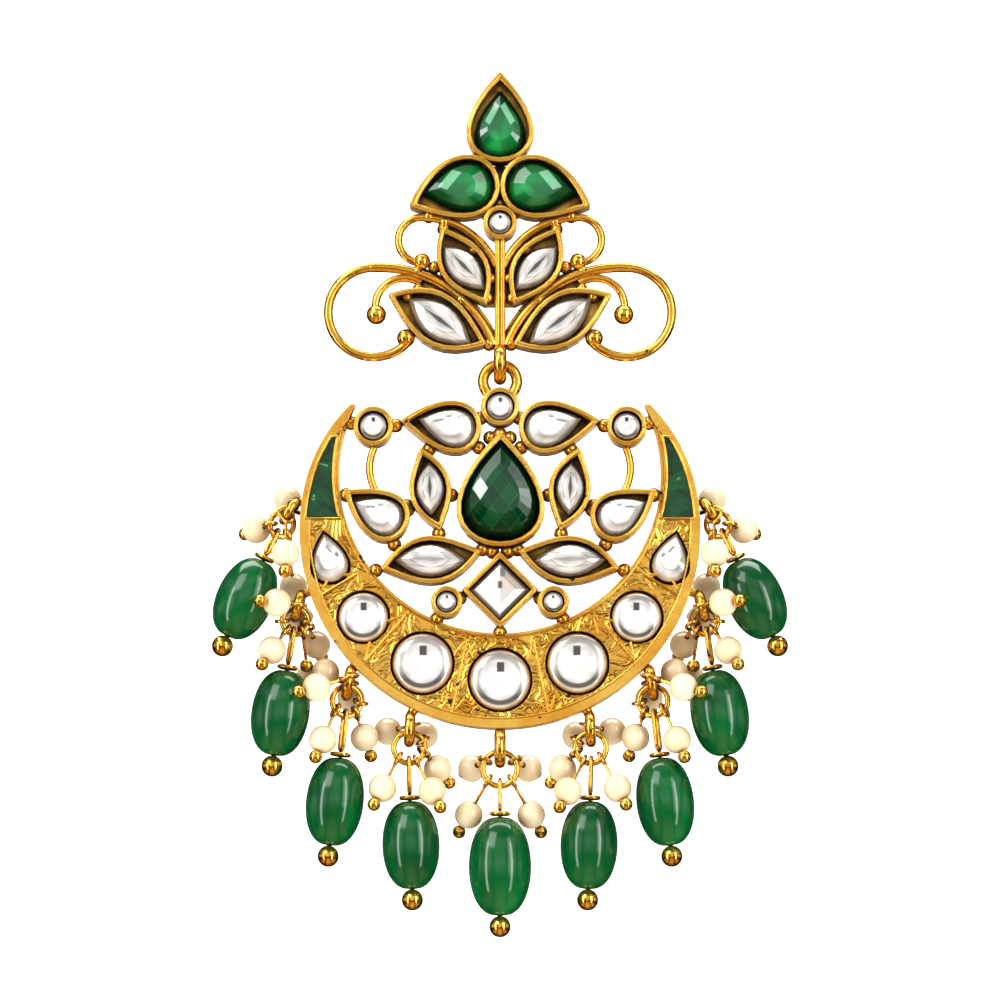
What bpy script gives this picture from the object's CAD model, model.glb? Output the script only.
import math

import bpy
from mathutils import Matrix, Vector, noise


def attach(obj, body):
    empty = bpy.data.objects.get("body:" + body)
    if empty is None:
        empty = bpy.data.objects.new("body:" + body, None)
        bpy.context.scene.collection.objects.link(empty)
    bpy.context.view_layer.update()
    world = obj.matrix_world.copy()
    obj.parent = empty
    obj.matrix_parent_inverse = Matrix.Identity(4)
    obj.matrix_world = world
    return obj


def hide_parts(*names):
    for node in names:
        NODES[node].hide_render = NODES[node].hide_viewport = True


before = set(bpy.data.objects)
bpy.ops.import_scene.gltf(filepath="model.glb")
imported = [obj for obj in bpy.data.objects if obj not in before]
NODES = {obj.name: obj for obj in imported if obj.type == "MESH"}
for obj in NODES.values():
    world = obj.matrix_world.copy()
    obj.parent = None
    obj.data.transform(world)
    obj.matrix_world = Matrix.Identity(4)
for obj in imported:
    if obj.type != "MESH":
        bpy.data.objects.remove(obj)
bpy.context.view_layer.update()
MM = 0.001
# Heights of the middles of the crescent's two circles, as in the CAD
OUTER_Z = -34.92
INNER_Z = -29.3


# Studio: camera, backdrop and lights

AIM = Vector((0, -1, -31.9)) * MM
CAMERA_BACK = 450 * MM
CAMERA_ANGLE = math.radians(-8.5)
FRAME_HEIGHT = 100 * MM
SENSOR = 36


def set_camera():
    """The photo's view: square on, from a little below, far enough to flatten the perspective."""
    bpy.ops.object.select_all(action="DESELECT")
    place = AIM + Vector((0, -math.cos(CAMERA_ANGLE), math.sin(CAMERA_ANGLE))) * CAMERA_BACK
    bpy.ops.object.camera_add(location=place, rotation=(math.pi / 2 - CAMERA_ANGLE, 0, 0))
    camera = bpy.context.object
    camera.name = "camera"
    camera.data.sensor_width = SENSOR
    camera.data.lens = SENSOR * CAMERA_BACK / FRAME_HEIGHT
    camera.data.clip_start = 0.01
    camera.data.clip_end = 10
    bpy.context.scene.camera = camera
    bpy.context.scene.view_settings.view_transform = "Standard"


def softbox(name, place, size, power, target=AIM):
    """A rectangular studio light that faces its target."""
    bpy.ops.object.light_add(type="AREA", location=place)
    light = bpy.context.object
    light.name = name
    light.rotation_euler = (Vector(target) - Vector(place)).to_track_quat("-Z", "Y").to_euler()
    light.data.shape = "RECTANGLE"
    light.data.size, light.data.size_y = size
    light.data.energy = power


def linear(hexa):
    """An sRGB hex colour as the linear colour that the shaders take."""
    parts = [int(hexa[i:i + 2], 16) / 255 for i in (1, 3, 5)]
    return [c / 12.92 if c <= 0.04045 else ((c + 0.055) / 1.055) ** 2.4 for c in parts] + [1]


def add(tree, kind, links=None, out=0, stops=(), **settings):
    """Adds a node with its settings and links and gives back one of its outputs. A link is a
    socket, a number or a hex colour; stops are the places and colours of a ramp."""
    made = tree.nodes.new(kind)
    for key, value in settings.items():
        setattr(made, key, value)
    for key, source in (links or {}).items():
        if isinstance(source, bpy.types.NodeSocket):
            tree.links.new(source, made.inputs[key])
        else:
            made.inputs[key].default_value = linear(source) if isinstance(source, str) else source
    for _ in range(len(stops) - 2):
        made.color_ramp.elements.new(0.5)
    for index, (place, colour) in enumerate(stops):
        made.color_ramp.elements[index].position = place
        made.color_ramp.elements[index].color = linear(colour)
    return made.outputs[out]


def new_material(name):
    """A material with its shader and its Object coordinates."""
    made = bpy.data.materials.new(name)
    made.use_nodes = True
    tree = made.node_tree
    shader = next(n for n in tree.nodes if n.type == "BSDF_PRINCIPLED")
    return made, tree, shader, add(tree, "ShaderNodeTexCoord", out="Object")


def turn_normals_out():
    """Turns every face of the active piece outwards."""
    bpy.ops.object.mode_set(mode="EDIT")
    bpy.ops.mesh.select_all(action="SELECT")
    bpy.ops.mesh.normals_make_consistent(inside=False)
    bpy.ops.object.mode_set(mode="OBJECT")


set_camera()


# Backdrop: a pale sweep that rises behind the earring, and the studio's air round it

# In metres
PAPER_SIZE = 3
PAPER_PLACE = (0, -0.9, -0.13)
PAPER_RISE = 2.2
PAPER_BEND = 0.35


def make_backdrop():
    """A sheet of white paper that lies under the earring and rises behind it in a soft bend."""
    bpy.ops.object.select_all(action="DESELECT")
    bpy.ops.mesh.primitive_plane_add(size=PAPER_SIZE, location=PAPER_PLACE)
    floor = bpy.context.object
    floor.name = "floor"
    floor.visible_glossy = False
    for edge in floor.data.edges:
        edge.select = all(floor.data.vertices[v].co.y > 0 for v in edge.vertices)
    for face in floor.data.polygons:
        face.select = False
    for vertex in floor.data.vertices:
        vertex.select = vertex.co.y > 0
    bpy.ops.object.mode_set(mode="EDIT")
    bpy.ops.mesh.select_mode(type="EDGE")
    bpy.ops.mesh.extrude_region_move(TRANSFORM_OT_translate={"value": (0, 0, PAPER_RISE)})
    bpy.ops.mesh.select_all(action="SELECT")
    bpy.ops.mesh.normals_make_consistent(inside=False)
    bpy.ops.object.mode_set(mode="OBJECT")
    bevel = floor.modifiers.new("sweep", "BEVEL")
    bevel.width = PAPER_BEND
    bevel.segments = 16
    bevel.limit_method = "ANGLE"
    bpy.ops.object.modifier_apply(modifier="sweep")
    bpy.ops.object.shade_smooth()
    bpy.ops.object.transform_apply(location=True, rotation=True, scale=True)
    paper, tree, shader, place = new_material("studio_paper")
    # Matt white paper: a touch of tone so that it isn't blank
    grain = add(tree, "ShaderNodeTexNoise", {"Vector": place, "Scale": 40, "Detail": 2})
    tone = add(tree, "ShaderNodeValToRGB", {0: grain}, stops=((0.3, "#F8F8F7"), (0.7, "#FDFDFC")))
    tree.links.new(tone, shader.inputs["Base Color"])
    shader.inputs["Roughness"].default_value = 0.9
    floor.data.materials.append(paper)


def make_world():
    """Studio air: white in front, at the sides and behind, with dark flags between them, so that
    polished gold and glass keep dark edges."""
    world = bpy.data.worlds.new("studio")
    bpy.context.scene.world = world
    world.use_nodes = True
    tree = world.node_tree
    back = next(n for n in tree.nodes if n.type == "BACKGROUND")
    way = add(tree, "ShaderNodeTexCoord", out="Generated")
    height = add(tree, "ShaderNodeSeparateXYZ", {0: way}, 2)
    side = add(tree, "ShaderNodeMath", {0: height.node.outputs[0]}, operation="ABSOLUTE")
    behind = height.node.outputs[1]
    behind = add(tree, "ShaderNodeMath", {0: behind, 1: 0.5, 2: 0.5}, operation="MULTIPLY_ADD")
    behind = add(tree, "ShaderNodeValToRGB", {0: behind}, stops=((0.4, "#FFFFFF"), (0.75, "#4A4A4A"),
        (0.93, "#5A5A5A"), (0.97, "#FFFFFF")))
    height = add(tree, "ShaderNodeMath", {0: height, 1: 0.5, 2: 0.5}, operation="MULTIPLY_ADD")
    air = add(tree, "ShaderNodeValToRGB", {0: height}, stops=((0.0, "#E6C896"), (0.2, "#D0B080"),
        (0.32, "#7A6044"), (0.4, "#2E241A"), (0.46, "#B8B0A6"), (0.52, "#F4F2EF"), (0.57, "#FFFFFF"),
        (0.66, "#B4AEA6"), (0.76, "#FFFFFF"), (0.85, "#4A443E"), (1.0, "#D8D4CE")))
    flag = add(tree, "ShaderNodeValToRGB", {0: side}, stops=((0.26, "#FFFFFF"), (0.42, "#4A433C"),
        (0.6, "#FFFFFF"), (0.8, "#FFFFFF"), (0.9, "#2A241E"), (0.97, "#FFFFFF")))
    air = add(tree, "ShaderNodeMix", {0: 1.0, 6: air, 7: flag}, 2, data_type="RGBA", blend_type="MULTIPLY")
    air = add(tree, "ShaderNodeMix", {0: 1.0, 6: air, 7: behind}, 2, data_type="RGBA", blend_type="MULTIPLY")
    tree.links.new(air, back.inputs[0])
    back.inputs[1].default_value = 1.0


make_backdrop()
make_world()
softbox("key", (-0.35, -0.45, 0.38), (0.35, 0.35), 1.8)
softbox("fill", (0.42, -0.5, 0.12), (0.18, 0.6), 0.9)
softbox("left strip", (-0.42, -0.32, -0.05), (0.07, 0.6), 1.1)
softbox("right strip", (0.36, -0.36, -0.05), (0.06, 0.6), 0.9)
softbox("backdrop light", (0, 0.1, 0.9), (1.2, 0.6), 16, (0, 0.6, -0.1))


# Metals

def antique_gold(name, light, deep, roughness, chased=False):
    """Antique gold plate over brass: warm yellow metal, polished where it stands proud, blackened
    in the corners and in small pits, which draws a dark line round every setting. The crescent's
    field between its rims is chased with small strokes."""
    made, tree, shader, place = new_material(name)
    worn = add(tree, "ShaderNodeTexNoise", {"Vector": place, "Scale": 260, "Detail": 4, "Roughness": 0.6})
    fine = add(tree, "ShaderNodeTexNoise", {"Vector": place, "Scale": 1500, "Detail": 3})
    share = add(tree, "ShaderNodeValToRGB", {0: worn}, stops=((0.35, "#000000"), (0.65, "#FFFFFF")))
    gold = add(tree, "ShaderNodeMix", {0: share, 6: deep, 7: light}, 2, data_type="RGBA")
    open_air = add(tree, "ShaderNodeAmbientOcclusion", {"Distance": 1.7 * MM}, "AO", samples=6)
    patchy = add(tree, "ShaderNodeMath", {0: worn, 1: 0.3, 2: -0.15}, operation="MULTIPLY_ADD")
    open_air = add(tree, "ShaderNodeMath", {0: open_air, 1: patchy}, operation="ADD")
    bare = add(tree, "ShaderNodeValToRGB", {0: open_air}, stops=((0.3, "#000000"), (0.52, "#FFFFFF")))
    pit = add(tree, "ShaderNodeTexNoise", {"Vector": place, "Scale": 900, "Detail": 2, "Roughness": 0.4})
    pit = add(tree, "ShaderNodeMapRange", {0: pit, 1: 0.25, 2: 0.28})
    bare = add(tree, "ShaderNodeMath", {0: bare, 1: pit}, operation="MULTIPLY")
    height = fine
    if chased:
        flat = add(tree, "ShaderNodeVectorMath", {0: place, 1: (1, 0, 1)}, operation="MULTIPLY")
        outer = add(tree, "ShaderNodeVectorMath", {0: flat, 1: (0, 0, OUTER_Z * MM)}, 1, operation="DISTANCE")
        inner = add(tree, "ShaderNodeVectorMath", {0: flat, 1: (0, 0, INNER_Z * MM)}, 1, operation="DISTANCE")
        depth = add(tree, "ShaderNodeSeparateXYZ", {0: place}, 1)
        field = add(tree, "ShaderNodeMath", {0: outer, 1: 19.0 * MM}, operation="LESS_THAN")
        inside = add(tree, "ShaderNodeMath", {0: inner, 1: 16.5 * MM}, operation="GREATER_THAN")
        field = add(tree, "ShaderNodeMath", {0: field, 1: inside}, operation="MULTIPLY")
        inside = add(tree, "ShaderNodeMath", {0: depth, 1: -1.2 * MM}, operation="LESS_THAN")
        field = add(tree, "ShaderNodeMath", {0: field, 1: inside}, operation="MULTIPLY")
        swirl = add(tree, "ShaderNodeTexNoise",
            {"Vector": flat, "Scale": 430, "Detail": 1, "Roughness": 0.5, "Distortion": 1.5})
        stroke = add(tree, "ShaderNodeValToRGB", {0: swirl}, stops=((0.34, "#000000"), (0.42, "#FFFFFF"),
            (0.46, "#404040"), (0.5, "#E0E0E0"), (0.54, "#303030"), (0.6, "#FFFFFF"), (0.68, "#404040")))
        carved = add(tree, "ShaderNodeMath", {0: stroke, 1: field}, operation="MULTIPLY")
        height = add(tree, "ShaderNodeMath", {0: carved, 1: 2.0, 2: fine}, operation="MULTIPLY_ADD")
        dark = add(tree, "ShaderNodeMath", {0: swirl, 1: 0.44}, operation="SUBTRACT")
        dark = add(tree, "ShaderNodeMath", {0: dark}, operation="ABSOLUTE")
        dark = add(tree, "ShaderNodeMapRange", {0: dark, 1: 0.003, 2: 0.014, 3: 0.2, 4: 1.0})
        dark = add(tree, "ShaderNodeMix", {0: field, 2: 1.0, 3: dark}, data_type="FLOAT")
        bare = add(tree, "ShaderNodeMath", {0: bare, 1: dark}, operation="MULTIPLY")
    coat = add(tree, "ShaderNodeMix", {0: bare, 6: "#180A03", 7: gold}, 2, data_type="RGBA")
    tree.links.new(coat, shader.inputs["Base Color"])
    tree.links.new(bare, shader.inputs["Metallic"])
    grain = add(tree, "ShaderNodeMath", {0: fine, 1: 0.12, 2: roughness + 0.54}, operation="MULTIPLY_ADD")
    rough = add(tree, "ShaderNodeMath", {0: bare, 1: -0.6, 2: grain}, operation="MULTIPLY_ADD")
    tree.links.new(rough, shader.inputs["Roughness"])
    normal = add(tree, "ShaderNodeBevel", {"Radius": 0.14 * MM}, samples=4)
    normal = add(tree, "ShaderNodeBump",
        {"Height": height, "Normal": normal, "Strength": 0.4, "Distance": 0.06 * MM})
    tree.links.new(normal, shader.inputs["Normal"])
    return made


def assign(name, material):
    """Gives a CAD piece its material."""
    NODES[name].data.materials.clear()
    NODES[name].data.materials.append(material)


casting = antique_gold("antique_gold_casting", "#FFCD5E", "#F0AA3C", 0.18, True)
wire = antique_gold("polished_gold_wire", "#FFCF60", "#F2AC3E", 0.12)
for name in ("top_frame", "pendant_frame"):
    assign(name, casting)
for name in ("ear_post", "bead_pins", "jump_rings", "pearl_pins_left", "pearl_pins_right"):
    assign(name, wire)


# Pearls, beads and enamel

def make_pearl():
    """Imitation pearl: cream lacquer with a soft wide gloss and a warm glow towards its neighbours."""
    made, tree, shader, place = new_material("cream_pearl")
    cloud = add(tree, "ShaderNodeTexNoise", {"Vector": place, "Scale": 350, "Detail": 2})
    cream = add(tree, "ShaderNodeValToRGB", {0: cloud}, stops=((0.3, "#E8D3A6"), (0.7, "#F2E4C2")))
    open_air = add(tree, "ShaderNodeAmbientOcclusion", {"Distance": 3 * MM}, "AO", samples=6)
    body = add(tree, "ShaderNodeMix", {0: open_air, 6: "#9C6A2C", 7: cream}, 2, data_type="RGBA")
    tree.links.new(body, shader.inputs["Base Color"])
    shader.inputs["Roughness"].default_value = 0.28
    shader.inputs["Coat Weight"].default_value = 0.6
    shader.inputs["Coat Roughness"].default_value = 0.12
    shader.inputs["Sheen Weight"].default_value = 0.3
    shader.inputs["Sheen Tint"].default_value = linear("#E0A850")
    return made


def make_bead_glass():
    """Tumbled green onyx glass: a soft gloss over deep green with faint clouds that run along
    the bead."""
    made, tree, shader, place = new_material("green_onyx_glass")
    long = add(tree, "ShaderNodeMapping", {"Vector": place, "Scale": (1, 1, 0.35)})
    cloud = add(tree, "ShaderNodeTexNoise", {"Vector": long, "Scale": 240, "Detail": 2, "Distortion": 0.5})
    body = add(tree, "ShaderNodeValToRGB", {0: cloud},
        stops=((0.3, "#00401B"), (0.55, "#005022"), (0.8, "#00652D")))
    tree.links.new(body, shader.inputs["Base Color"])
    shader.inputs["Roughness"].default_value = 0.16
    shader.inputs["IOR"].default_value = 1.45
    shader.inputs["Coat Weight"].default_value = 0.25
    shader.inputs["Coat Roughness"].default_value = 0.06
    return made


def make_enamel():
    """Deep green enamel over a wrinkled ground: glassy, with creases and pale streaks."""
    made, tree, shader, place = new_material("green_enamel")
    crease = add(tree, "ShaderNodeTexNoise", {"Vector": place, "Scale": 380, "Detail": 2, "Distortion": 1.6})
    body = add(tree, "ShaderNodeValToRGB", {0: crease},
        stops=((0.3, "#01200E"), (0.5, "#013818"), (0.66, "#02481F"), (0.69, "#6FAE80"), (0.71, "#02481F")))
    tree.links.new(body, shader.inputs["Base Color"])
    bump = add(tree, "ShaderNodeBump", {"Height": crease, "Strength": 0.6, "Distance": 0.25 * MM})
    tree.links.new(bump, shader.inputs["Normal"])
    shader.inputs["Roughness"].default_value = 0.12
    shader.inputs["IOR"].default_value = 1.4
    shader.inputs["Coat Weight"].default_value = 0.2
    shader.inputs["Coat Roughness"].default_value = 0.04
    return made


pearl = make_pearl()
bead_glass = make_bead_glass()
enamel = make_enamel()
for name in NODES:
    if name.startswith("pearls"):
        assign(name, pearl)
    elif name.startswith("bead_") and name != "bead_pins":
        assign(name, bead_glass)
    elif name.startswith("enamel"):
        assign(name, enamel)


# Settings and stones, as in the CAD. Columns: name, side, kind, stone x, z, turn, length, width,
# setting x, z, turn, length, width, beak, bend, and the group that gives the depths
SETTINGS = [
    ("top_green", "one", "drop", 0, 6.38, 90, 7.1, 5.1, 0, 7.05, 90, 9.3, 6.8, 1, 0, "top"),
    ("side_green", "pair", "drop", -4.3, -0.2, 188, 7.4, 5.2, -4.62, -0.12, 183, 9.2, 6.5, 0.7, 1.7, "top"),
    ("small_round", "one", "round", 0, -3.84, 90, 2.4, 2.4, 0, -3.84, 90, 3.4, 3.4, 1, 0, "top"),
    ("upper_leaf", "pair", "leaf", -3.68, -8.34, 134, 6.3, 3.25, -3.64, -8.28, 130, 9.0, 4.7, 1, -0.8, "top"),
    ("lower_leaf", "pair", "leaf", -6.05, -13.88, 143, 8.0, 3.75, -6.28, -13.74, 143, 11, 5.3, 1, 0.9, "top"),
    ("crest_round", "one", "round", 0, -22.62, 90, 2.84, 2.84, 0, -22.62, 90, 3.84, 3.84, 1, 0, "lotus"),
    ("crest_pear", "pair", "drop", -5.32, -24.54, 165, 6.0, 4.0,
        -5.9, -24.42, 168, 8.1, 5.3, 1, 0.5, "lotus"),
    ("horn_round", "pair", "round", -12.68, -24.61, 90, 2.84, 2.84,
        -12.68, -24.61, 90, 3.96, 3.96, 1, 0, "lotus"),
    ("petal", "pair", "leaf", -7.0, -30.84, 92, 5.5, 3.0, -6.96, -30.98, 92, 8.4, 4.2, 1, 0.85, "lotus"),
    ("side_pear", "pair", "drop", -12.28, -33.4, 153, 5.6, 3.85,
        -12.55, -33.2, 153, 7.3, 5.0, 1, -0.5, "lotus"),
    ("low_leaf", "pair", "leaf", -6.95, -38.08, 179, 7.3, 3.4,
        -6.88, -38.1, 180, 10.1, 4.8, 1, 0.9, "lotus"),
    ("big_green", "one", "drop", 0.05, -31.0, 90, 10.2, 7.75, 0.05, -30.95, 90, 11.6, 8.8, 1, 0, "lotus"),
    ("square", "one", "square", 0, -41.1, 90, 6.12, 6.12, 0, -41.1, 90, 7.6, 7.6, 1, 0, "lotus"),
    ("tiny_round", "pair", "round", -5.3, -42.3, 90, 2.12, 2.12, -5.3, -42.3, 90, 3.12, 3.12, 1, 0, "lotus"),
    ("arm_pear", "pair", "drop", -17.08, -37.8, 102, 5.0, 3.6, -17.08, -37.8, 102, 5.6, 4.1, 1, 0, "face"),
    ("arm_round", "pair", "round", -13.6, -43.79, 90, 5.04, 5.04, -13.6, -43.79, 90, 5.4, 5.4, 1, 0, "face"),
    ("low_round", "pair", "round", -7.69, -48.4, 90, 6.08, 6.08, -7.69, -48.4, 90, 6.44, 6.44, 1, 0, "face"),
    ("bottom_round", "one", "round", 0, -50.06, 90, 6.14, 6.14, 0, -50.06, 90, 6.5, 6.5, 1, 0, "face"),
]
GROUP = 15
SETTING = slice(8, 15)
# Columns: body, depth of the setting, of the stone's back, of its girdle and of its table
DEPTHS = {
    "top": ("top", 2.4, 0.93, 1.5, 2.75),
    "lotus": ("pendant", 2.5, 0.93, 1.6, 2.85),
    "face": ("pendant", 1.5, 0.53, 1.6, 2.3),
}


def outline(kind, length, width, beak, bend, count):
    """Points of a stone's or setting's outline about its own middle, as in the CAD."""
    peak = 2 * ((beak + 1) / (beak + 2)) ** ((beak + 1) / 2) / math.sqrt(beak + 2)
    points = []
    for i in range(count):
        c, s = math.cos(math.tau * i / count), math.sin(math.tau * i / count)
        half = abs(math.sin(math.pi * i / count))
        if kind == "drop":
            points.append((length / 2 * c, width / 2 * s * half ** beak / peak + bend * ((1 + c) / 2) ** 4))
        elif kind == "leaf":
            points.append((length / 2 * c, width / 2 * s * abs(s) + bend * c ** 3))
        elif kind == "square":
            points.append((length / 2 * c / (abs(c) + abs(s)), length / 2 * s / (abs(c) + abs(s))))
        else:
            points.append((length / 2 * c, width / 2 * s))
    return points


def turned(points, x, z, turn):
    """The same points turned and moved to their place, in metres."""
    c, s = math.cos(math.radians(turn)), math.sin(math.radians(turn))
    return [((x + a * c - b * s) * MM, (z + a * s + b * c) * MM) for a, b in points]


# Bezels: a rounded wire on the top edge of every setting

BEZEL_WIRE = 0.24
BEZEL_SINK = 0.2
BEZEL_INSET = 0.45


def bent_wire(points, depth, radius, closed=True):
    """A round wire through the points, made from a circle of edges; an open one has closed ends."""
    bpy.ops.object.select_all(action="DESELECT")
    if len(points) == 2:
        points = [points[0], [(a + b) / 2 for a, b in zip(*points)], points[1]]
    bpy.ops.mesh.primitive_circle_add(vertices=len(points), radius=MM)
    made = bpy.context.object
    for vertex, (x, z) in zip(made.data.vertices, points):
        vertex.co = (x, -depth * MM, z)
    if not closed:
        for vertex in made.data.vertices:
            vertex.select = vertex.index in (0, len(points) - 1)
        for edge in made.data.edges:
            edge.select = all(made.data.vertices[v].select for v in edge.vertices)
        bpy.ops.object.mode_set(mode="EDIT")
        bpy.ops.mesh.select_mode(type="EDGE")
        bpy.ops.mesh.delete(type="EDGE_FACE")
        bpy.ops.object.mode_set(mode="OBJECT")
    bpy.ops.object.convert(target="CURVE")
    made = bpy.context.object
    made.data.bevel_depth = radius * MM
    made.data.bevel_resolution = 2
    made.data.use_fill_caps = True
    bpy.ops.object.convert(target="MESH")
    bpy.ops.object.mode_set(mode="EDIT")
    bpy.ops.mesh.select_all(action="SELECT")
    bpy.ops.mesh.remove_doubles(threshold=0.001 * MM)
    bpy.ops.object.mode_set(mode="OBJECT")
    bpy.ops.object.shade_smooth_by_angle(angle=math.radians(60))
    return bpy.context.object


def joined(parts, name, mirrored=False):
    """Joins parts into one piece, with its mirror image when it has one on each side."""
    bpy.ops.object.select_all(action="DESELECT")
    for part in parts:
        part.select_set(True)
    bpy.context.view_layer.objects.active = parts[0]
    if len(parts) > 1:
        bpy.ops.object.join()
    whole = bpy.context.object
    whole.name = name
    bpy.ops.object.transform_apply(location=True, rotation=True, scale=True)
    if mirrored:
        twin = whole.modifiers.new("twin", "MIRROR")
        twin.use_mirror_merge = False
        bpy.ops.object.modifier_apply(modifier="twin")
    turn_normals_out()
    return whole


def mirrored_twin(piece, name):
    """A copy of a piece on the other side, with a mesh of its own."""
    bpy.ops.object.select_all(action="DESELECT")
    piece.select_set(True)
    bpy.context.view_layer.objects.active = piece
    bpy.ops.object.duplicate(linked=False)
    twin = bpy.context.object
    twin.name = name
    bpy.ops.transform.mirror(constraint_axis=(True, False, False), center_override=(0, 0, 0))
    bpy.ops.object.transform_apply(location=True, rotation=True, scale=True)
    turn_normals_out()
    return twin


def rim_points(row):
    """The line of a setting's bezel: its outline drawn in by half the wire, and by more at a tip."""
    kind, x, z, turn, length, width, beak, bend = row[2], *row[SETTING]
    shorter = {"drop": 0.75, "leaf": 0.8, "square": 0.65, "round": BEZEL_INSET}[kind]
    shift = -0.15 if kind == "drop" else 0
    count = 32 if kind == "square" else 64
    points = outline(kind, length - shorter, width - BEZEL_INSET, beak, bend, count)
    return turned([(a + shift, b) for a, b in points], x, z, turn)


for body in ("top", "pendant"):
    for side in ("one", "pair"):
        rows = [row for row in SETTINGS
            if row[1] == side and DEPTHS[row[GROUP]][0] == body and row[GROUP] != "face"]
        wires = [bent_wire(rim_points(row), DEPTHS[row[GROUP]][1] - BEZEL_SINK, BEZEL_WIRE) for row in rows]
        bezels = joined(wires, f"{body}_bezels_{side}", side == "pair")
        bezels.data.materials.append(wire)
        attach(bezels, body)


# Solder: a rounded drop on every joint between the castings

TOP_SOLDER = [(-1.3, 2.5), (0, -1.75), (-1.25, -2.9), (-5.6, -3.6), (-7.2, -3.0), (-5.7, -4.3),
    (-8.3, -8.7), (-6.6, -8.2), (-2.6, -6.4), (-1.2, -11.4), (-9.4, -11.2), (-1.1, -16.1), (-3.9, -11.6),
    (-0.9, -9.4), (-8.2, -10.5)]
LOTUS_SOLDER = [(-10.45, -24.35), (-14.95, -24.1), (-15.4, -31.4), (-9.2, -32.9), (-4.85, -31.4),
    (-6.1, -35.3), (-10.55, -36.4), (-7.1, -26.8), (-2.1, -26.6), (-1.75, -36.9), (-0.75, -37.15),
    (-12.4, -39.0), (-6.3, -43.9), (-4.0, -41.8), (-9.3, -32.5), (-1.95, -23.6), (-1.0, -25.6),
    (0, -45.25), (0, -25.2)]
SOLDER_DEPTH = 0.95
SOLDER_TALL = 0.9
SOLDER_BACK = 0.32


def solder_drop(x, z, wide):
    """A blob of solder: a ball flattened at the back, drawn out a little towards the front."""
    bpy.ops.object.select_all(action="DESELECT")
    bpy.ops.mesh.primitive_ico_sphere_add(subdivisions=3, radius=MM,
        location=(x * MM, -SOLDER_DEPTH * MM, z * MM), scale=(wide, SOLDER_TALL, wide))
    drop = bpy.context.object
    bpy.ops.object.transform_apply(location=True, rotation=True, scale=True)
    bpy.ops.object.mode_set(mode="EDIT")
    bpy.ops.mesh.select_all(action="SELECT")
    bpy.ops.mesh.bisect(plane_co=(0, -SOLDER_BACK * MM, 0), plane_no=(0, 1, 0),
        clear_outer=True, use_fill=True)
    bpy.ops.object.mode_set(mode="OBJECT")
    bpy.ops.object.shade_smooth_by_angle(angle=math.radians(50))
    return drop


for body, spots, wide in (("top", TOP_SOLDER, 0.66), ("pendant", LOTUS_SOLDER, 0.72)):
    spots = spots + [(-x, z) for x, z in spots if x]
    drops = joined([solder_drop(x, z, wide) for x, z in spots], body + "_solder")
    drops.data.materials.append(casting)
    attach(drops, body)


# Crescent: a fine line inside each rim, and chased ridges between the stones

# Circles as middle x, z and radius: the two fine lines, then the three sides of the enamel
OUTER_LINE = (0, OUTER_Z, 19.0)
INNER_LINE = (0, INNER_Z, 16.48)
ENAMEL_OUTER = (0, OUTER_Z, 19.46)
ENAMEL_INNER = (0, INNER_Z, 16.66)
ENAMEL_TOP = (-3.46, -34.08, 15.9)
LINE_WIRE = 0.11
RIDGE_WIRE = 0.17
SPINE_DEPTH = 1.84
BARB_DEPTH = 1.68
BARB_LENGTH = 2.0
BARB_LEAN = 0.5


def arc(circle, start, end, count):
    """Points of an arc between two angles in degrees."""
    x, z, radius = circle
    turns = [math.radians(start + (end - start) * i / (count - 1)) for i in range(count)]
    return [((x + radius * math.cos(a)) * MM, (z + radius * math.sin(a)) * MM) for a in turns]


def barbed(x1, z1, x2, z2):
    """A chased ridge from rim to rim: a spine with two barbs at either end that point to the rims."""
    spine = [(x1 * MM, z1 * MM), (x2 * MM, z2 * MM)]
    wires = [bent_wire(spine, SPINE_DEPTH, RIDGE_WIRE, closed=False)]
    for x, z, other_x, other_z in ((x1, z1, x2, z2), (x2, z2, x1, z1)):
        way = math.atan2(other_z - z, other_x - x)
        for lean in (-BARB_LEAN, BARB_LEAN):
            end_x = x + BARB_LENGTH * math.cos(way + lean)
            end_z = z + BARB_LENGTH * math.sin(way + lean)
            barb = [(x * MM, z * MM), (end_x * MM, end_z * MM)]
            wires.append(bent_wire(barb, BARB_DEPTH, RIDGE_WIRE, closed=False))
    return wires


rim_of_enamel = arc(ENAMEL_OUTER, 177, 167, 8) + arc(ENAMEL_TOP, 166, 148, 12)
rim_of_enamel += arc(ENAMEL_INNER, 167, 196, 18)
lines = [
    bent_wire(arc(OUTER_LINE, 177.5, 270, 60), 2.0, LINE_WIRE, closed=False),
    bent_wire(arc(INNER_LINE, 157, 270, 60), 1.8, LINE_WIRE, closed=False),
    bent_wire(rim_of_enamel, 1.95, RIDGE_WIRE),
]
crescent_lines = joined(lines, "crescent_lines", True)
crescent_lines.data.materials.append(wire)
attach(crescent_lines, "pendant")
RIDGES = [(-14.3, -39.5, -18.2, -41.85), (-9.3, -43.5, -13.4, -48.2), (-3.3, -46.0, -4.85, -53.5)]
ridges = joined([part for row in RIDGES for part in barbed(*row)], "chased_ridges", True)
ridges.data.materials.append(wire)
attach(ridges, "pendant")


# The crescent's ground: chased all over with scrolling strokes, cut out round the stones

# Left, right, low and high edge of the half that is modelled
GROUND_BOX = (-19.3, 0, -54.2, -34.3)
GROUND_STEP = 0.15
GROUND_DEPTH = 1.51
GROUND_THICKNESS = 0.12
GROUND_OUTER = 19.2
GROUND_INNER = 16.3
STROKE_HEIGHT = 0.2
STROKE_WIDTH = 0.26
SWIRL = 0.45
SWIRL_REACH = 1.5
FLOW = 0.8
# The seed of the strokes, without which the clock would seed them anew in each run
STROKE_SEED = 1


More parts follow.
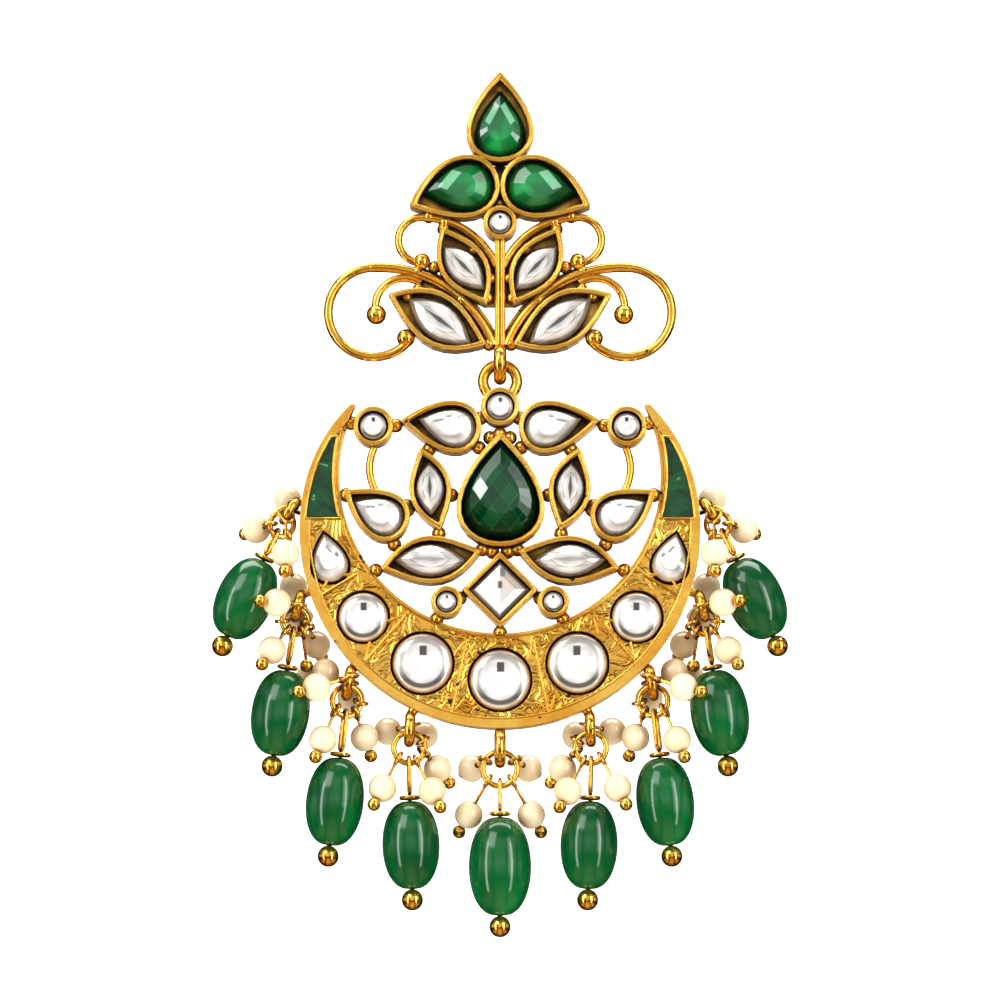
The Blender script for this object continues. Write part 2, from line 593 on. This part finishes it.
def stroke(x, z):
    """Height of the chasing from 0 to 1: lines that follow a swirling field, about half a millimetre
    apart."""
    place = Vector((x, 0, z))
    place += noise.noise_vector(place * SWIRL) * SWIRL_REACH
    return 0.5 + 0.5 * math.sin(noise.noise(place * FLOW) * 4 / STROKE_WIDTH)


def seat_reach(row):
    """A stone's seat on the crescent: its middle, and how far its edge is at each angle."""
    kind, x, z, turn, length, width, beak, bend = row[2], *row[SETTING]
    points = turned(outline(kind, length, width, beak, bend, 120), x, z, turn)
    offsets = [(a / MM - x, b / MM - z) for a, b in points]
    return x, z, sorted((math.atan2(dz, dx), math.hypot(dx, dz)) for dx, dz in offsets)


def fitted(x, z, seats):
    """A point of the ground, moved out to the edge of a seat it falls just inside, or None where
    there is no ground."""
    if math.hypot(x, z - OUTER_Z) > GROUND_OUTER or math.hypot(x, z - INNER_Z) < GROUND_INNER:
        return None
    for middle_x, middle_z, reach in seats:
        dx, dz = x - middle_x, z - middle_z
        far = math.hypot(dx, dz)
        if far < reach[0][1] + 2:
            angle = math.atan2(dz, dx)
            edge = min(reach, key=lambda spot: abs(spot[0] - angle))[1]
            if far < edge - GROUND_STEP:
                return None
            if far < edge:
                return middle_x + dx * edge / far, middle_z + dz * edge / far
    return x, z


def chased_ground():
    """A fine sheet over one half of the crescent, raised by the strokes, mirrored and thickened."""
    noise.seed_set(STROKE_SEED)
    left, right, low, high = GROUND_BOX
    bpy.ops.object.select_all(action="DESELECT")
    bpy.ops.mesh.primitive_grid_add(x_subdivisions=round((right - left) / GROUND_STEP),
        y_subdivisions=round((high - low) / GROUND_STEP), size=1)
    ground = bpy.context.object
    ground.name = "chased_ground"
    seats = [seat_reach(row) for row in SETTINGS if row[GROUP] == "face"]
    for part in (*ground.data.edges, *ground.data.polygons):
        part.select = False
    for vertex in ground.data.vertices:
        x = left + (vertex.co.x + 0.5) * (right - left)
        z = low + (vertex.co.y + 0.5) * (high - low)
        spot = fitted(x, z, seats)
        vertex.select = spot is None
        x, z = spot or (x, z)
        vertex.co = (x * MM, -(GROUND_DEPTH + STROKE_HEIGHT * stroke(x, z)) * MM, z * MM)
    bpy.ops.object.mode_set(mode="EDIT")
    bpy.ops.mesh.select_mode(type="VERT")
    bpy.ops.mesh.delete(type="VERT")
    bpy.ops.object.mode_set(mode="OBJECT")
    twin = ground.modifiers.new("twin", "MIRROR")
    twin.use_clip = True
    twin.merge_threshold = 0.01 * MM
    bpy.ops.object.modifier_apply(modifier="twin")
    turn_normals_out()
    body = ground.modifiers.new("body", "SOLIDIFY")
    body.thickness = GROUND_THICKNESS * MM
    body.offset = -1 if ground.data.polygons[0].normal.y < 0 else 1
    bpy.ops.object.modifier_apply(modifier="body")
    turn_normals_out()
    bpy.ops.object.shade_smooth_by_angle(angle=math.radians(60))
    return ground


ground = chased_ground()
ground.data.materials.append(casting)
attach(ground, "pendant")


# Beads: each is turned again as a smooth oval with a drilled bore, in the same form as the CAD's

# Columns, as in the solids: name, side, the loop's x, z, swing, radius and wire, the jump ring's
# swing and radius, the bead's x, z, length and width
BEADS = [
    ("end", "pair", -20.98, -33.03, 35, 1.2, 0.42, 30, 1.25, -25.4, -41.85, 8.4, 5.7),
    ("outer", "pair", -20.1, -42.6, 15, 1.2, 0.48, 10, 1.3, -21.8, -53.3, 8.6, 5.8),
    ("side", "pair", -15.05, -50.3, 10, 1.3, 0.52, 5, 1.5, -16.35, -62.1, 8.8, 5.75),
    ("inner", "pair", -8.96, -54.9, 3, 1.3, 0.52, 1, 1.54, -8.8, -66.4, 8.75, 5.7),
    ("middle", "one", 0, -56.8, 0, 1.4, 0.58, 0, 1.7, 0, -68.5, 9.8, 6.2),
]
RING_WIRE = 0.29
LINK_GAP = 0.16
BEAD_Y = -1.1
BORE = 0.3
BEAD_RINGS = 28
# Power of the sine that gives the bead's outline: under 1 the ends are fuller than a ball's
BEAD_FULLNESS = 0.78


def down(swing):
    """The direction straight down, swung to the left by an angle in degrees."""
    angle = math.radians(swing)
    return Vector((-math.sin(angle), 0, -math.cos(angle)))


def ring_foot(x, z, loop_swing, loop_radius, loop_wire, ring_swing, ring_radius):
    """The lowest point of the jump ring that lies in a loop, where the bead's pin hangs."""
    top = Vector((x, BEAD_Y, z)) + down(loop_swing) * (loop_radius - loop_wire - RING_WIRE - LINK_GAP)
    return top + down(ring_swing) * 2 * ring_radius


def turned_bead(name, foot, x, z, length, width):
    """A ball with its two ends opened and joined through by a bore, then drawn ring by ring to a
    full oval along its pin."""
    bpy.ops.object.select_all(action="DESELECT")
    bpy.ops.mesh.primitive_uv_sphere_add(segments=40, ring_count=BEAD_RINGS, radius=MM)
    bead = bpy.context.object
    bead.name = name
    for part in (*bead.data.edges, *bead.data.polygons):
        part.select = False
    for vertex in bead.data.vertices:
        vertex.select = abs(vertex.co.z) > 0.9999 * MM
    bpy.ops.object.mode_set(mode="EDIT")
    bpy.ops.mesh.select_mode(type="VERT")
    bpy.ops.mesh.delete(type="VERT")
    bpy.ops.mesh.select_non_manifold(extend=False)
    bpy.ops.mesh.bridge_edge_loops()
    bpy.ops.object.mode_set(mode="OBJECT")
    middle = Vector((x, BEAD_Y, z))
    axis = (middle - foot).normalized()
    front = Vector((0, 1, 0))
    aside = axis.cross(front)
    for vertex in bead.data.vertices:
        angle = math.acos(vertex.co.z / MM)
        ring = round(angle / math.pi * BEAD_RINGS)
        at_bore = ring in (1, BEAD_RINGS - 1)
        spread = BORE if at_bore else width / 2 * math.sin(angle) ** BEAD_FULLNESS
        turn = math.atan2(vertex.co.y, vertex.co.x)
        place = middle + axis * length / 2 * math.cos(angle)
        vertex.co = (place + (aside * math.cos(turn) + front * math.sin(turn)) * spread) * MM
    turn_normals_out()
    bpy.ops.object.shade_smooth_by_angle(angle=math.radians(50))
    return bead


for row in BEADS:
    name, side = row[:2]
    bead = turned_bead(f"glass_bead_{name}", ring_foot(*row[2:9]), *row[9:])
    bead.data.materials.append(bead_glass)
    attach(bead, "pendant")
    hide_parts(f"bead_{name}" + ("_left" if side == "pair" else ""))
    if side == "pair":
        twin = mirrored_twin(bead, f"glass_bead_{name}_right")
        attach(twin, "pendant")
        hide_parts(f"bead_{name}_right")


# Stones: each is cut again from a circle with a finer outline, in the same form as the CAD's

BIG_STONE_FRONT = 3.1


def cut_gem(name, row, smooth):
    """Draws the outline, raises the girdle and two rings of facets, and stores on every vertex
    its place along, across and out from the middle."""
    kind, x, z, turn, length, width = row[2:8]
    body, _, back, girdle, front = DEPTHS[row[GROUP]]
    front = BIG_STONE_FRONT if name.startswith("stone_big") else front
    count = {"round": 40, "drop": 24, "leaf": 24, "square": 24}[kind]
    middle = (girdle + front) / 2 + (front - girdle) * 0.2
    bpy.ops.object.select_all(action="DESELECT")
    bpy.ops.mesh.primitive_circle_add(vertices=count, radius=MM, fill_type="NGON")
    gem = bpy.context.object
    gem.name = name.replace("stone_", "gem_")
    points = turned(outline(kind, length, width, 1, 0, count), x, z, turn)
    for vertex, (px, pz) in zip(gem.data.vertices, points):
        vertex.co = (px, -back * MM, pz)
    bpy.ops.object.mode_set(mode="EDIT")
    bpy.ops.mesh.select_all(action="SELECT")
    level, share = back, 1.0
    rings = [(girdle, 1.0), (middle, 0.8), (front, 0.5)]
    if smooth:
        rings = [(girdle, 1.0), (girdle + (front - girdle) * 0.5, 0.92), (middle, 0.8),
            (middle + (front - middle) * 0.62, 0.66), (front, 0.5)]
    for depth, wide in rings:
        bpy.ops.mesh.extrude_region_move(TRANSFORM_OT_translate={"value": (0, (level - depth) * MM, 0)})
        size = wide / share
        bpy.ops.transform.resize(value=(size, 1, size), center_override=(x * MM, -depth * MM, z * MM))
        level, share = depth, wide
    bpy.ops.mesh.select_all(action="SELECT")
    bpy.ops.mesh.normals_make_consistent(inside=False)
    bpy.ops.object.mode_set(mode="OBJECT")
    bpy.ops.object.transform_apply(location=True, rotation=True, scale=True)
    if smooth:
        bpy.ops.object.shade_smooth_by_angle(angle=math.radians(40))
    shares = {round(depth, 3): wide for depth, wide in rings}
    c, s = math.cos(math.radians(turn)), math.sin(math.radians(turn))
    spot = gem.data.attributes.new("spot", "FLOAT_VECTOR", "POINT")
    for vertex, store in zip(gem.data.vertices, spot.data):
        dx, dz = vertex.co.x / MM - x, vertex.co.z / MM - z
        ring = shares.get(round(-vertex.co.y / MM, 3), 1.0)
        store.vector = ((dx * c + dz * s) / (length / 2), (dz * c - dx * s) / (width / 2), ring)
    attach(gem, body)
    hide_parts(name)
    return gem


def gem_space(tree):
    """The stored place on a stone: along, across, out from the middle, and the ring of facets."""
    spot = add(tree, "ShaderNodeAttribute", out="Vector", attribute_name="spot")
    along = add(tree, "ShaderNodeSeparateXYZ", {0: spot}, 0)
    flat = add(tree, "ShaderNodeVectorMath", {0: spot, 1: (1, 1, 0)}, operation="MULTIPLY")
    out = add(tree, "ShaderNodeVectorMath", {0: flat}, 1, operation="LENGTH")
    return flat, along, along.node.outputs[1], along.node.outputs[2], out


def within(tree, value, middle, reach, soft):
    """1 where a value lies within reach of its middle, with a soft edge."""
    off = add(tree, "ShaderNodeMath", {0: value, 1: middle}, operation="SUBTRACT")
    off = add(tree, "ShaderNodeMath", {0: off}, operation="ABSOLUTE")
    return add(tree, "ShaderNodeMapRange", {0: off, 1: reach - soft, 2: reach + soft, 3: 1.0, 4: 0.0})


def patch(tree, one, two, middle, reach, soft, lean=(0.8, 0.6)):
    """1 inside a leaning oblong of the plane of two values, with a soft edge."""
    one = add(tree, "ShaderNodeMath", {0: one, 1: middle[0]}, operation="SUBTRACT")
    two = add(tree, "ShaderNodeMath", {0: two, 1: middle[1]}, operation="SUBTRACT")
    c, s = lean
    wide = add(tree, "ShaderNodeMath", {0: two, 1: s}, operation="MULTIPLY")
    wide = add(tree, "ShaderNodeMath", {0: one, 1: c, 2: wide}, operation="MULTIPLY_ADD")
    high = add(tree, "ShaderNodeMath", {0: one, 1: -s}, operation="MULTIPLY")
    high = add(tree, "ShaderNodeMath", {0: two, 1: c, 2: high}, operation="MULTIPLY_ADD")
    wide = within(tree, wide, 0, reach[0], soft)
    high = within(tree, high, 0, reach[1], soft)
    return add(tree, "ShaderNodeMath", {0: wide, 1: high}, operation="MULTIPLY")


def clear_glass(name, kind):
    """Foil-backed clear glass: silver seen through a polished face, smoky where the facets send the
    eye to the dark of the room, a tan edge where the gold of the setting shows, and the small dark
    picture of a window. Each cut has marks of its own."""
    made, tree, shader, _ = new_material(name)
    flat, along, across, ring, out = gem_space(tree)
    side = add(tree, "ShaderNodeMath", {0: across}, operation="ABSOLUTE")
    smoke = add(tree, "ShaderNodeTexNoise", {"Vector": flat, "Scale": 1.1, "Detail": 1, "Distortion": 0.9})
    body = add(tree, "ShaderNodeValToRGB", {0: smoke},
        stops=((0.3, "#C9C6C2"), (0.5, "#F2F0EE"), (0.7, "#FFFFFF")))
    marks = []
    if kind == "round":
        low = add(tree, "ShaderNodeMapRange", {0: along, 1: 0.0, 2: -0.55, 3: 0.0, 4: 1.0})
        bow = within(tree, out, 0.76, 0.08, 0.03)
        bow = add(tree, "ShaderNodeMath", {0: bow, 1: low}, operation="MULTIPLY")
        top = add(tree, "ShaderNodeMapRange", {0: along, 1: 0.0, 2: 0.6, 3: 0.0, 4: 0.75})
        cap = within(tree, out, 0.8, 0.12, 0.07)
        cap = add(tree, "ShaderNodeMath", {0: cap, 1: top}, operation="MULTIPLY")
        window = patch(tree, across, along, (-0.02, 0.4), (0.12, 0.16), 0.02, (1, 0))
        marks = [(bow, "#63605C"), (cap, "#8E8984"), (window, "#45433F")]
        edge = add(tree, "ShaderNodeValToRGB", {0: out}, stops=((0.5, "#FFFFFF"), (0.64, "#F4F2EF"),
            (0.7, "#CFCBC6"), (0.78, "#FFFFFF"), (0.88, "#E8DCCB"), (0.93, "#D9A868"), (0.97, "#A8743A"),
            (1.0, "#3A2410")))
    elif kind in ("leaf", "petal"):
        bow = add(tree, "ShaderNodeMath", {0: along, 1: along}, operation="MULTIPLY")
        bow = add(tree, "ShaderNodeMath", {0: bow, 1: 0.46, 2: side}, operation="MULTIPLY_ADD")
        lens = add(tree, "ShaderNodeValToRGB", {0: bow}, stops=((0.08, "#A9A6A1"), (0.3, "#DAD7D3"),
            (0.4, "#FFFFFF"), (0.44, "#B3A89C"), (0.5, "#FFFFFF"), (0.7, "#E9E4DF")))
        body = add(tree, "ShaderNodeMix", {0: 0.75, 6: body, 7: lens}, 2,
            data_type="RGBA", blend_type="MULTIPLY")
        long = add(tree, "ShaderNodeMath", {0: along}, operation="ABSOLUTE")
        long = add(tree, "ShaderNodeMath", {0: long, 1: 1.7}, operation="MULTIPLY")
        slit = add(tree, "ShaderNodeMath", {0: side, 1: 6.0, 2: long}, operation="MULTIPLY_ADD")
        strength = 0.95 if kind == "leaf" else 0.3
        slit = add(tree, "ShaderNodeMapRange", {0: slit, 1: 0.62, 2: 1.0, 3: strength, 4: 0.0})
        marks = [(slit, "#3F3D39")]
    elif kind == "drop":
        low = add(tree, "ShaderNodeMapRange", {0: across, 1: -0.1, 2: 0.5, 3: 0.0, 4: 0.8})
        bow = within(tree, out, 0.6, 0.12, 0.08)
        bow = add(tree, "ShaderNodeMath", {0: bow, 1: low}, operation="MULTIPLY")
        marks = [(bow, "#9A9691"), (patch(tree, along, across, (0.3, -0.1), (0.2, 0.05), 0.03), "#8C8883"),
            (patch(tree, along, across, (0.02, -0.5), (0.12, 0.1), 0.03), "#5A5853")]
    else:
        upper = add(tree, "ShaderNodeMapRange", {0: along, 1: -0.01, 2: 0.01})
        left = add(tree, "ShaderNodeMapRange", {0: across, 1: -0.01, 2: 0.01})
        high = add(tree, "ShaderNodeMix", {0: left, 6: "#CFC2B7", 7: "#EBDFD6"}, 2, data_type="RGBA")
        deep = add(tree, "ShaderNodeMix", {0: left, 6: "#C9C5C1", 7: "#FFFFFF"}, 2, data_type="RGBA")
        body = add(tree, "ShaderNodeMix", {0: upper, 6: deep, 7: high}, 2, data_type="RGBA")
        marks = [(patch(tree, across, along, (0.0, 0.14), (0.07, 0.12), 0.03, (1, 0)), "#4A4945"),
            (patch(tree, across, along, (-0.08, 0.56), (0.09, 0.15), 0.03, (1, 0)), "#85817B")]
    if kind != "round":
        edge = add(tree, "ShaderNodeValToRGB", {0: ring}, stops=((0.5, "#FFFFFF"), (0.53, "#DAD6D1"),
            (0.6, "#FFFFFF"), (0.8, "#E6E2DD"), (0.87, "#C9BFB4"), (0.94, "#DDB988"), (1.0, "#6B4420")))
    body = add(tree, "ShaderNodeMix", {0: 1.0, 6: body, 7: edge}, 2, data_type="RGBA", blend_type="MULTIPLY")
    for mark, colour in marks:
        body = add(tree, "ShaderNodeMix", {0: mark, 6: body, 7: colour}, 2, data_type="RGBA")
    tree.links.new(body, shader.inputs["Base Color"])
    shader.inputs["Metallic"].default_value = 0.35
    shader.inputs["Roughness"].default_value = 0.2
    shader.inputs["Coat Weight"].default_value = 1.0
    shader.inputs["Coat Roughness"].default_value = 0.02
    return made


def green_glass(name, pair):
    """Foil-backed emerald glass: bright green, lightest in the belly where the foil throws the
    light back, dark at the girdle, with pale facets towards the tip: two, or one on a side stone."""
    made, tree, shader, _ = new_material(name)
    flat, along, across, ring, _ = gem_space(tree)
    glow = add(tree, "ShaderNodeTexNoise", {"Vector": flat, "Scale": 1.1, "Detail": 1, "Distortion": 0.6})
    tone = add(tree, "ShaderNodeMath", {0: along, 1: -0.24, 2: glow}, operation="MULTIPLY_ADD")
    table = add(tree, "ShaderNodeValToRGB", {0: tone},
        stops=((0.25, "#014822"), (0.5, "#016030"), (0.66, "#037E3C"), (0.8, "#0AA050")))
    edge = add(tree, "ShaderNodeValToRGB", {0: ring},
        stops=((0.5, "#FFFFFF"), (0.56, "#C8E2D2"), (0.8, "#8FB49E"), (1.0, "#0A2A14")))
    body = add(tree, "ShaderNodeMix", {0: 1.0, 6: table, 7: edge}, 2, data_type="RGBA", blend_type="MULTIPLY")
    if pair:
        side = add(tree, "ShaderNodeMath", {0: across}, operation="ABSOLUTE")
        pale = patch(tree, side, along, (0.3, 0.26), (0.11, 0.34), 0.015)
    else:
        up = add(tree, "ShaderNodeMath", {0: across, 1: -1}, operation="MULTIPLY")
        pale = patch(tree, along, up, (0.18, 0.3), (0.15, 0.38), 0.015)
    pale = add(tree, "ShaderNodeMath", {0: pale, 1: 0.6}, operation="MULTIPLY")
    body = add(tree, "ShaderNodeMix", {0: pale, 6: body, 7: "#8CCBA4"}, 2, data_type="RGBA")
    tree.links.new(body, shader.inputs["Base Color"])
    shader.inputs["Roughness"].default_value = 0.1
    shader.inputs["IOR"].default_value = 1.57
    shader.inputs["Coat Weight"].default_value = 0.4
    shader.inputs["Coat Roughness"].default_value = 0.02
    return made


def deep_green_glass(name):
    """The big pear's glass: deep emerald cut in a chequer of diamond facets, one of which
    throws back the light."""
    made, tree, shader, _ = new_material(name)
    _, along, across, ring, _ = gem_space(tree)
    one = add(tree, "ShaderNodeMath", {0: along, 1: across}, operation="ADD")
    two = add(tree, "ShaderNodeMath", {0: along, 1: across}, operation="SUBTRACT")
    cells, lines = [], []
    for value in (one, two):
        value = add(tree, "ShaderNodeMath", {0: value, 1: 2.2, 2: 0.3}, operation="MULTIPLY_ADD")
        cells.append(add(tree, "ShaderNodeMath", {0: value}, operation="FLOOR"))
        lines.append(add(tree, "ShaderNodeMath", {0: value}, operation="FRACT"))
    number = add(tree, "ShaderNodeMath", {0: cells[0], 1: 7.3, 2: cells[1]}, operation="MULTIPLY_ADD")
    shade = add(tree, "ShaderNodeTexWhiteNoise", {"W": number}, "Value", noise_dimensions="1D")
    table = add(tree, "ShaderNodeValToRGB", {0: shade},
        stops=((0.0, "#012C15"), (0.6, "#02381C"), (1.0, "#034623")))
    line = add(tree, "ShaderNodeMath", {0: lines[0], 1: lines[1]}, operation="MINIMUM")
    line = add(tree, "ShaderNodeMapRange", {0: line, 1: 0.015, 2: 0.04, 3: 0.35, 4: 0.0})
    table = add(tree, "ShaderNodeMix", {0: line, 6: table, 7: "#2E7A4E"}, 2, data_type="RGBA")
    edge = add(tree, "ShaderNodeValToRGB", {0: ring},
        stops=((0.5, "#FFFFFF"), (0.8, "#A6C8B2"), (1.0, "#0A2614")))
    body = add(tree, "ShaderNodeMix", {0: 1.0, 6: table, 7: edge}, 2, data_type="RGBA", blend_type="MULTIPLY")
    high = add(tree, "ShaderNodeMath", {0: along}, operation="ABSOLUTE")
    high = add(tree, "ShaderNodeMath", {0: high, 1: 0.85}, operation="MULTIPLY")
    wide = add(tree, "ShaderNodeMath", {0: across, 1: 0.52}, operation="SUBTRACT")
    wide = add(tree, "ShaderNodeMath", {0: wide}, operation="ABSOLUTE")
    kite = add(tree, "ShaderNodeMath", {0: high, 1: wide}, operation="ADD")
    kite = add(tree, "ShaderNodeMapRange", {0: kite, 1: 0.185, 2: 0.205, 3: 0.9, 4: 0.0})
    body = add(tree, "ShaderNodeMix", {0: kite, 6: body, 7: "#C6DCCB"}, 2, data_type="RGBA")
    tree.links.new(body, shader.inputs["Base Color"])
    shader.inputs["Roughness"].default_value = 0.1
    shader.inputs["IOR"].default_value = 1.4
    shader.inputs["Coat Weight"].default_value = 0.15
    shader.inputs["Coat Roughness"].default_value = 0.05
    return made


GLASS = {
    "round": clear_glass("foiled_clear_glass_round", "round"),
    "drop": clear_glass("foiled_clear_glass_pear", "drop"),
    "leaf": clear_glass("foiled_clear_glass_marquise", "leaf"),
    "low_leaf": clear_glass("foiled_clear_glass_low_marquise", "petal"),
    "square": clear_glass("foiled_clear_glass_square", "square"),
    "top_green": green_glass("foiled_emerald_glass_top", True),
    "side_green": green_glass("foiled_emerald_glass_side", False),
    "big_green": deep_green_glass("foiled_deep_emerald_glass"),
}
for row in SETTINGS:
    name, side, kind = row[:3]
    names = ["stone_" + name] if side == "one" else [f"stone_{name}_left", f"stone_{name}_right"]
    gem = cut_gem(names[0], row, kind == "round")
    gem.data.materials.append(GLASS[name if name in GLASS else kind])
    if side == "pair":
        twin = mirrored_twin(gem, "gem_" + name + "_right")
        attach(twin, DEPTHS[row[GROUP]][0])
        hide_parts(names[1])
